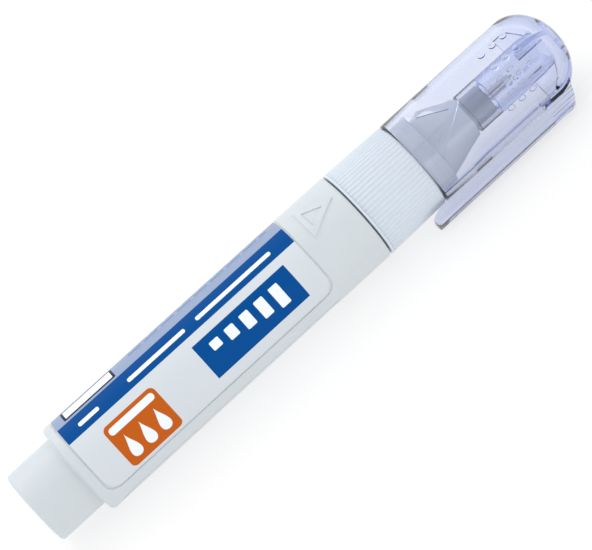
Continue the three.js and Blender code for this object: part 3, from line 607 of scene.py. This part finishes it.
lip_end = COLLAR_AT + COLLAR_LIP
rib_start = lip_end + 0.05
rib_end = COLLAR_FRONT - RIB_SETBACK
rib_slope = COLLAR_FRONT - RIB_SLOPE_SETBACK
nozzle_outline = [
    (COLLAR_AT, SKIRT_BORE),
    (COLLAR_AT, collar_radius(COLLAR_AT), 0.35),
    (lip_end, collar_radius(lip_end), 0.1),
    (lip_end, between_ribs(lip_end)),
    (rib_start, between_ribs(rib_start)),
    (rib_end, between_ribs(rib_end)),
    (rib_slope, between_ribs(rib_slope)),
    (COLLAR_FRONT - 0.05, between_ribs(COLLAR_FRONT)),
    (COLLAR_FRONT, between_ribs(COLLAR_FRONT) - 0.05),
    (COLLAR_FRONT, SEAT_RADIUS, 0.15),
    (SNAP_RING_AT - SNAP_RING_HALF, SEAT_RADIUS, 0.5),
    (SNAP_RING_AT, SEAT_RADIUS + SNAP_RING_HEIGHT, 0.5),
    (SNAP_RING_AT + SNAP_RING_HALF, SEAT_RADIUS, 0.5),
    (CONE_AT, SEAT_RADIUS, 0.3),
    (CONE_AT, CONE_REAR_RADIUS, 0.15),
    (SPOUT_AT, CONE_FRONT_RADIUS, 0.3),
    (SPOUT_AT, SPOUT_RADIUS, 0.15),
    (SPOUT_END, SPOUT_RADIUS, 0.3),
    (SPOUT_END, TIP_HOLE_RADIUS),
    (SPOUT_AT, TIP_HOLE_RADIUS),
    (SPOUT_AT, CHAMBER_RADIUS),
    (CHAMBER_AT, CHAMBER_RADIUS),
    (CHAMBER_AT, CHAMBER_TUBE_RADIUS, 0.2),
    (HOLLOW_END, CHAMBER_TUBE_RADIUS),
    (HOLLOW_END, HOLLOW_END_RADIUS),
    (HOLLOW_NARROWS_AT, NECK_BORE),
    (HOLLOW_AT, NECK_BORE),
    (HOLLOW_AT, SKIRT_BORE),
    (SNAP_GROOVE_END, SKIRT_BORE),
    (SNAP_GROOVE_END - SNAP_GROOVE_DEPTH, SKIRT_BORE + SNAP_GROOVE_DEPTH),
    (SNAP_GROOVE_AT + SNAP_GROOVE_DEPTH, SKIRT_BORE + SNAP_GROOVE_DEPTH),
    (SNAP_GROOVE_AT, SKIRT_BORE),
]
nozzle = turned("ribbed_nozzle", eased(nozzle_outline), RIB_COUNT * COLUMNS_PER_RIB)


def raise_ribs(columns, share):
    """Raises the given columns of every rib by a share of the ribs' height."""
    for spot in nozzle.data.vertices:
        out = math.hypot(spot.co.y, spot.co.z)
        column = round(math.atan2(spot.co.z, spot.co.y) / (2 * math.pi) * RIB_COUNT * COLUMNS_PER_RIB)
        on_rib = rib_start - 0.01 < spot.co.x / MM < rib_end + 0.01 and out > SKIRT_MIDDLE_RADIUS * MM
        spot.select = on_rib and column % COLUMNS_PER_RIB in columns
    bpy.ops.object.mode_set(mode="EDIT")
    wider = 1 + share * RIB_HEIGHT / between_ribs(COLLAR_AT)
    bpy.ops.transform.resize(value=(1, wider, wider), center_override=(0, 0, 0))
    bpy.ops.mesh.select_all(action="DESELECT")
    bpy.ops.object.mode_set(mode="OBJECT")


select_only(nozzle)
bpy.ops.object.mode_set(mode="EDIT")
bpy.ops.mesh.select_mode(type="VERT")
bpy.ops.mesh.select_all(action="DESELECT")
bpy.ops.object.mode_set(mode="OBJECT")
raise_ribs((0, 1), 1)
raise_ribs((2, 5), RIB_SHOULDER)
smooth(nozzle, 50)

# Injection-moulded polypropylene with a faint see-through depth. The mould is spark-eroded at the
# collar, so that it is matt and grips, and polished in front of it. There the colour is painted
# whiter than the collar's. This is painted light on the same plastic, standing in for the light that
# the cap's walls take from the part inside it.
moulded_pp, tree, shader = finish(
    "injection-moulded polypropylene",
    {"Roughness": 0.4, "Subsurface Weight": 0.05, "Subsurface Radius": (0.001, 0.001, 0.001)},
)
place = node(tree, "TexCoord").outputs["Object"]
clouds = node(tree, "TexNoise", {"Scale": 120, "Detail": 2}, {"Vector": place})
tint = node(tree, "Mix", {"data_type": "RGBA", 6: linear("#d5dee6"), 7: linear("#cfd7e1")}, {0: clouds})
along = node(tree, "SeparateXYZ", {}, {0: place}).outputs["X"]
# Painted light: everything in front of the collar gets a whiter colour, though it is the same plastic.
painted_brighter_front = node(tree, "Math", {"operation": "GREATER_THAN", 1: (COLLAR_FRONT - 0.05) * MM}, {0: along})
painted_light_colour = {"data_type": "RGBA", 7: linear("#ebf1f6")}
tint = node(tree, "Mix", painted_light_colour, {6: tint.outputs[2], 0: painted_brighter_front})
tree.links.new(tint.outputs[2], shader.inputs["Base Color"])
grain = node(tree, "TexNoise", {"Scale": 5000, "Detail": 2}, {"Vector": place})
eroded = node(tree, "Bump", {"Strength": 0.2, "Distance": 0.02 * MM}, {"Height": grain})
tree.links.new(eroded.outputs[0], shader.inputs["Normal"])
wear(nozzle, moulded_pp)
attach(nozzle, "barrel")
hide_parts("nozzle")


# The steel tip: a stainless tube, turned to a narrower nose with the orifice in it. Its flange seats
# inside the end of the nozzle's chamber.
TIP_SIDES = 96
FLANGE_AT = 81.15
FLANGE_END = 81.95
FLANGE_RADIUS = 1.95
TUBE_RADIUS = 0.75
TUBE_BORE = 0.45
TUBE_END = 89.3
NOSE_AT = 90.25
TIP_END = 90.5
ORIFICE_AT = 90
ORIFICE_RADIUS = 0.27
tip_outline = [
    (FLANGE_AT, TUBE_BORE),
    (FLANGE_AT, FLANGE_RADIUS, 0.1),
    (FLANGE_END, FLANGE_RADIUS, 0.1),
    (FLANGE_END, TUBE_RADIUS),
    (TUBE_END, TUBE_RADIUS, 0.6),
    (NOSE_AT, 0.52, 0.25),
    (TIP_END, 0.4, 0.1),
    (TIP_END, ORIFICE_RADIUS, 0.05),
    (ORIFICE_AT, ORIFICE_RADIUS),
    (89.82, TUBE_BORE),
]
steel_tip = turned("turned_steel_tip", eased(tip_outline), TIP_SIDES)
smooth(steel_tip, 30)

# Turned stainless steel: bright and hard-edged in its reflections, slightly warm, with fine rings
# round it from the lathe tool. The rings are drawn at 0.1 mm, coarser than real, so that they show.
turned_steel, tree, shader = finish("turned stainless steel", {"Metallic": 1, "Roughness": 0.08})
place = node(tree, "TexCoord").outputs["Object"]
stretch = node(tree, "Mapping", {"Scale": (10000, 200, 200)}, {0: place})
rings = node(tree, "TexNoise", {"Scale": 1, "Detail": 2}, {"Vector": stretch})
tint = node(tree, "Mix", {"data_type": "RGBA", 6: linear("#c6c2bf"), 7: linear("#e8e6e3")}, {0: rings})
tree.links.new(tint.outputs[2], shader.inputs["Base Color"])
tooled = node(tree, "Bump", {"Strength": 0.1, "Distance": 0.01 * MM}, {"Height": rings})
tree.links.new(tooled.outputs[0], shader.inputs["Normal"])
wear(steel_tip, turned_steel)
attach(steel_tip, "barrel")
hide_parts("steel_tip")


# The needle: a ground stainless pin with a thinner end, finished as the tip is. The end stands out of
# the orifice, and the step behind it closes the orifice until the pin is pressed on paper.
NEEDLE_AT = 78.85
NEEDLE_END = 90.95
NEEDLE_RADIUS = 0.34
POINT_RADIUS = 0.2
needle_outline = [
    (NEEDLE_AT, POINT_RADIUS),
    (NEEDLE_AT, NEEDLE_RADIUS, 0.05),
    (89.83, NEEDLE_RADIUS, 0.05),
    (89.97, POINT_RADIUS, 0.05),
    (NEEDLE_END, POINT_RADIUS, 0.12),
    (NEEDLE_END, 0),
]
needle = turned("ground_needle", eased(needle_outline), 48)
smooth(needle, 30)
wear(needle, turned_steel)
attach(needle, "needle")
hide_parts("valve_needle")


# The needle's holder and the plug: small natural polypropylene mouldings inside the nozzle. They
# have no pigment, so they are milky and let light into the surface.
natural_pp, tree, shader = finish(
    "natural polypropylene",
    {"Roughness": 0.35, "Subsurface Weight": 0.6, "Subsurface Radius": (0.002, 0.002, 0.0018)},
)
place = node(tree, "TexCoord").outputs["Object"]
flow = node(tree, "TexNoise", {"Scale": 700, "Detail": 2}, {"Vector": place})
tint = node(tree, "Mix", {"data_type": "RGBA", 6: linear("#e9e8e2"), 7: linear("#dddcd5")}, {0: flow})
tree.links.new(tint.outputs[2], shader.inputs["Base Color"])
wear(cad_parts["needle_holder"], natural_pp)
wear(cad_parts["spring_plug"], natural_pp)


# The spring: one stainless wire in eight coils, between the plug and the holder. It shortens by the
# needle's travel as the needle is pressed, towards its end on the plug.
SPRING_FROM = 69.808
SPRING_TO = 77.592
SPRING_COILS = 8
COIL_STEPS = 24
WIRE_SIDES = 12
WIRE_RADIUS = 0.15
COIL_RADIUS = 1.3
bpy.ops.object.select_all(action="DESELECT")
bpy.ops.mesh.primitive_circle_add(
    vertices=WIRE_SIDES,
    radius=WIRE_RADIUS * MM,
    location=(SPRING_FROM * MM, 0, COIL_RADIUS * MM),
    rotation=(math.radians(90), 0, 0),
)
spring = bpy.context.object
spring.name = "coiled_spring"
bpy.ops.object.transform_apply()
coil = spring.modifiers.new("coil", "SCREW")
coil.axis = "X"
coil.screw_offset = (SPRING_TO - SPRING_FROM) / SPRING_COILS * MM
coil.iterations = SPRING_COILS
coil.steps = COIL_STEPS
coil.render_steps = COIL_STEPS
bpy.ops.object.modifier_apply(modifier=coil.name)
bpy.ops.object.mode_set(mode="EDIT")
bpy.ops.mesh.select_all(action="SELECT")
bpy.ops.mesh.fill_holes(sides=0)
close_up(spring)
smooth(spring, 40)

# Hard-drawn stainless wire: bright but not polished. The drawing die leaves fine lines along it.
spring_wire, tree, shader = finish("hard-drawn stainless wire", {"Metallic": 1, "Roughness": 0.3})
place = node(tree, "TexCoord").outputs["Object"]
streaks = node(tree, "TexNoise", {"Scale": 2500, "Detail": 2}, {"Vector": place})
tint = node(tree, "Mix", {"data_type": "RGBA", 6: linear("#a6a7aa"), 7: linear("#c9cacc")}, {0: streaks})
tree.links.new(tint.outputs[2], shader.inputs["Base Color"])
wear(spring, spring_wire)
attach(spring, "barrel")
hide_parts("needle_spring")
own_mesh(spring)


# The cap: one clear blue polystyrene moulding. It is a domed shell with the pocket clip, raised
# arrows and grip dots. Inside, four webs hold a sleeve that closes over the spout.
CAP_AT = 72
CAP_END = 99.7
CAP_RADIUS = 7.1
CAP_DOME_AT = 94.1
CAVITY_RADIUS = 5.85
CAVITY_DOME_AT = 93.4
CAVITY_END = 98
MOUTH_RADIUS = 6.07
MOUTH_END = 78
SLEEVE_AT = 82.5
SLEEVE_RADIUS = 3.17
SLEEVE_MOUTH = 2.57
SLEEVE_STEP = 86.5
CLIP_ANGLE = 133
FACE_ANGLES = (CLIP_ANGLE - 94, CLIP_ANGLE + 94)
CAP_SIDES = 192
DOME_STEPS = 22


def dome(foot, radius, length, from_radius, to_radius):
    """The points of a dome's side, from one radius to another. Its steps are even in angle."""
    start, end = (math.acos(out / radius) for out in (from_radius, to_radius))
    points = []
    for step in range(DOME_STEPS + 1):
        angle = start + (end - start) * step / DOME_STEPS
        points.append((foot + length * math.sin(angle), radius * math.cos(angle)))
    return points


cap_outline = (
    dome(CAP_DOME_AT, CAP_RADIUS, CAP_END - CAP_DOME_AT, 0.3, CAP_RADIUS)
    + [
        (CAP_AT, CAP_RADIUS, 0.25),
        (CAP_AT, MOUTH_RADIUS, 0.15),
        (MOUTH_END, MOUTH_RADIUS, 1),
        (MOUTH_END + 3, CAVITY_RADIUS, 1),
    ]
    + dome(CAVITY_DOME_AT, CAVITY_RADIUS, CAVITY_END - CAVITY_DOME_AT, CAVITY_RADIUS, SLEEVE_RADIUS)
    + [
        (SLEEVE_AT, SLEEVE_RADIUS, 0.1),
        (SLEEVE_AT, SLEEVE_MOUTH, 0.15),
        (SLEEVE_STEP, SLEEVE_MOUTH, 0.1),
        (SLEEVE_STEP, CHAMBER_RADIUS, 0.1),
        (CAVITY_END, CHAMBER_RADIUS, 0.3),
        (CAVITY_END, 0),
    ]
)
cap = turned("clear_cap", eased(cap_outline), CAP_SIDES)

# The clip is drawn from its side on top of the cap and thickened. A bar with two rounded edges, and a
# plate with rounded corners, trim its section and its free end.
CLIP_WIDTH = 3.2
CLIP_INNER = 7.65
CLIP_OUTER_END = 9.65
CLIP_OUTER_ROOT = 9.55
CLIP_END_AT = 68.4
CLIP_CORNER_AT = 94.7
CLIP_ROOT_AT = 91
CLIP_FOOT_AT = 96.35
CLIP_FOOT_RADIUS = 6.25
CLIP_ROUND = 0.6
CLIP_BAR_LENGTH = 31
half = CLIP_WIDTH / 2
clip_side = [
    (CLIP_END_AT, CLIP_INNER + 0.7, 0.35),
    (CLIP_END_AT, CLIP_OUTER_END, 0.7),
    (CLIP_CORNER_AT, CLIP_OUTER_ROOT, 1.5),
    (CLIP_FOOT_AT, CLIP_FOOT_RADIUS),
    (CLIP_ROOT_AT, CLIP_FOOT_RADIUS),
    (CLIP_ROOT_AT, CLIP_INNER, 0.3),
    (CLIP_END_AT + 2, CLIP_INNER, 0.8),
]
clip = drawn("clip", [(along, -half, out) for along, out in eased(clip_side)])
bpy.ops.mesh.extrude_region_move(TRANSFORM_OT_translate={"value": (0, CLIP_WIDTH * MM, 0)})
close_up(clip)
bar_section = [
    (-half - 0.01, 5),
    (-half, CLIP_OUTER_END, CLIP_ROUND),
    (half, CLIP_OUTER_END, CLIP_ROUND),
    (half + 0.01, 5),
]
bar = drawn("clip_bar", [(CLIP_END_AT - 1, across, out) for across, out in eased(bar_section)])
lower = (CLIP_OUTER_ROOT - CLIP_OUTER_END) * CLIP_BAR_LENGTH / (CLIP_CORNER_AT - CLIP_END_AT)
along_bar = {"value": (CLIP_BAR_LENGTH * MM, 0, lower * MM)}
bpy.ops.mesh.extrude_region_move(TRANSFORM_OT_translate=along_bar)
close_up(bar)
combine(clip, bar, "INTERSECT")
plate_corners = [(CLIP_END_AT, -half, 0.7), (CLIP_END_AT, half, 0.7), (100, half + 0.01), (100, -half - 0.01)]
plate = drawn("clip_plate", [(along, across, 5) for along, across in eased(plate_corners)])
bpy.ops.mesh.extrude_region_move(TRANSFORM_OT_translate={"value": (0, 0, 6 * MM)})
close_up(plate)
combine(clip, plate, "INTERSECT")

# Two grooves run along each side of the clip's root.
GROOVE_AT = 95.15
GROOVE_LENGTH = 8.7
GROOVE_WIDTH = 0.45
GROOVE_CUT = 0.7
GROOVE_PITCH = 1.15
for groove in range(2):
    for side in (-1, 1):
        bpy.ops.object.select_all(action="DESELECT")
        bpy.ops.mesh.primitive_cube_add(
            size=MM,
            location=(GROOVE_AT * MM, side * CLIP_WIDTH / 2 * MM, (CLIP_INNER + GROOVE_PITCH * groove) * MM),
            scale=(GROOVE_LENGTH, GROOVE_CUT, GROOVE_WIDTH),
        )
        cutter = bpy.context.object
        bpy.ops.object.transform_apply()
        combine(clip, cutter, "DIFFERENCE")
turn_round_pen(clip, CLIP_ANGLE)

# An arrow and nine dots stand on each side of the clip. The two sides are alike.
CAP_ARROW_AT = 74.85
CAP_ARROW_BASE = 8.8
CAP_ARROW_HEIGHT = 7.3
CAP_ARROW_BAND = 1.1
DOT_RADIUS = 0.58
DOT_HEIGHT = 0.28
DOT_PITCH = 2.05
LAST_DOT_AT = 92.87
DOT_ROW_ANGLE = 24.2
cap_arrow = raised_arrow(
    "cap_arrow",
    CAP_ARROW_AT,
    CAP_ARROW_BASE,
    CAP_ARROW_HEIGHT,
    CAP_ARROW_BAND,
    lambda along: CAP_RADIUS,
    CAP_SIDES,
)
bpy.ops.object.select_all(action="DESELECT")
bpy.ops.mesh.primitive_uv_sphere_add(
    segments=24,
    ring_count=12,
    radius=DOT_RADIUS * MM,
    location=(0, 0, CAP_RADIUS * MM),
    scale=(1, 1, DOT_HEIGHT / DOT_RADIUS),
)
dot = bpy.context.object
dot.name = "dot"
bpy.ops.object.transform_apply()


def copied(piece, along, angle):
    """A copy of a piece with its own mesh, moved along the pen and turned round it."""
    copy = piece.copy()
    copy.data = piece.data.copy()
    bpy.context.collection.objects.link(copy)
    copy.location.x = along * MM
    turn_round_pen(copy, angle)
    return copy


reliefs = []
for face_angle in FACE_ANGLES:
    reliefs.append(copied(cap_arrow, 0, face_angle))
    for row in (-1, 0, 1):
        for i in range(3):
            reliefs.append(copied(dot, LAST_DOT_AT - i * DOT_PITCH, face_angle + row * DOT_ROW_ANGLE))
bpy.data.objects.remove(cap_arrow)
bpy.data.objects.remove(dot)

# The webs stand between the sleeve and the shell. A dome through the middle of the wall trims them.
WEB_THICKNESS = 0.75
WEB_FROM = 2.585
WEB_TO = 6.475
WEB_AT = 92.5
WEB_END = 98.4
MIDDLE_DOME_LENGTH = 5.1
middle_dome = dome((CAVITY_DOME_AT + CAP_DOME_AT) / 2, WEB_TO, MIDDLE_DOME_LENGTH, 0.3, WEB_TO)
webs = []
for quarter in range(4):
    bpy.ops.object.select_all(action="DESELECT")
    bpy.ops.mesh.primitive_cube_add(
        size=MM,
        location=((WEB_AT + WEB_END) / 2 * MM, 0, (WEB_FROM + WEB_TO) / 2 * MM),
        scale=(WEB_END - WEB_AT, WEB_THICKNESS, WEB_TO - WEB_FROM),
    )
    web = bpy.context.object
    web.name = "web"
    bpy.ops.object.transform_apply()
    turn_round_pen(web, FACE_ANGLES[0] + 90 * quarter)
    trim = turned("web_trim", middle_dome + [(SLEEVE_AT, WEB_TO), (SLEEVE_AT, 0)], CAP_SIDES)
    combine(web, trim, "INTERSECT")
    webs.append(web)

# All of it is one moulding, so it is joined to one closed solid.
bpy.ops.object.select_all(action="DESELECT")
for detail in [clip] + reliefs + webs:
    detail.select_set(True)
bpy.context.view_layer.objects.active = clip
bpy.ops.object.join()
combine(cap, clip, "UNION")
smooth(cap, 35)

# Clear blue polystyrene, injection-moulded in a polished mould: glassy, with sharp reflections, and a
# violet-blue dye that deepens where the light goes along the plastic. Faint flow lines ripple it.
clear_blue, tree, shader = finish(
    "clear blue polystyrene",
    {
        "Base Color": linear("#ffffff"),
        "Roughness": 0.03,
        "IOR": 1.44,
        "Transmission Weight": 1,
    },
)
place = node(tree, "TexCoord").outputs["Object"]
stretch = node(tree, "Mapping", {"Scale": (60, 350, 350)}, {0: place})
flow = node(tree, "TexNoise", {"Scale": 1, "Detail": 2}, {"Vector": stretch})
lines = node(tree, "Bump", {"Strength": 0.15, "Distance": 0.05 * MM}, {"Height": flow})
tree.links.new(lines.outputs[0], shader.inputs["Normal"])
dye = node(tree, "VolumeAbsorption", {"Color": linear("#6690e0"), "Density": 140})
tree.links.new(dye.outputs[0], tree.nodes["Material Output"].inputs["Volume"])
wear(cap, clear_blue)
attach(cap, "cap")
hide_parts("cap")


# The table: a light table, a large matt white sheet with a faint even glow. The studio's light comes
# from a pale room, and from a large soft light behind the pen, with a weak one in front.
bpy.ops.object.select_all(action="DESELECT")
bpy.ops.mesh.primitive_plane_add(size=4, location=(0, 0, -BODY_RADIUS_REAR * MM))
table = bpy.context.object
table.name = "table"
bpy.ops.object.transform_apply()
board, tree, shader = finish(
    "opal acrylic sheet, lit from below",
    {
        "Roughness": 0.6,
        "Specular IOR Level": 0.3,
        "Emission Color": linear("#ffffff"),
        "Emission Strength": 0.7,
    },
)
place = node(tree, "TexCoord").outputs["Object"]
sheen = node(tree, "TexNoise", {"Scale": 4, "Detail": 1}, {"Vector": place})
tint = node(tree, "Mix", {"data_type": "RGBA", 6: linear("#8a8a8a"), 7: linear("#878787")}, {0: sheen})
tree.links.new(tint.outputs[2], shader.inputs["Base Color"])
wear(table, board)

scene = bpy.context.scene
scene.view_settings.view_transform = "Standard"
world = bpy.data.worlds.new("studio")
scene.world = world
world.use_nodes = True
tree = world.node_tree
background = tree.nodes["Background"]
background.inputs["Strength"].default_value = 1.24

# The camera and its stand are a dark shape in the pale room. The steel and the cap reflect it.
toward = node(tree, "TexCoord").outputs["Generated"]
stand = Vector((0.16, -0.8, 0.58)).normalized()
facing = node(tree, "VectorMath", {"operation": "DOT_PRODUCT", 1: stand}, {0: toward}).outputs["Value"]
shape = node(tree, "MapRange", {1: 0.91, 2: 0.95, 3: 0, 4: 1}, {0: facing})
room = node(tree, "Mix", {"data_type": "RGBA", 6: linear("#f6f7f9"), 7: linear("#101216")}, {0: shape})
tree.links.new(room.outputs[2], background.inputs["Color"])


def soft_light(name, place, size, watts):
    """A square soft light at a place in metres, turned to the pen's middle."""
    bpy.ops.object.light_add(type="AREA", location=place)
    light = bpy.context.object
    light.name = name
    light.data.size = size
    light.data.energy = watts
    light.rotation_euler = (Vector(place) - Vector((0.05, 0, 0))).to_track_quat("Z", "Y").to_euler()


soft_light("key light", (-0.1, 0.35, 0.6), 0.32, 0.65)
soft_light("front light", (0.2, -0.6, 0.3), 0.6, 0.7)
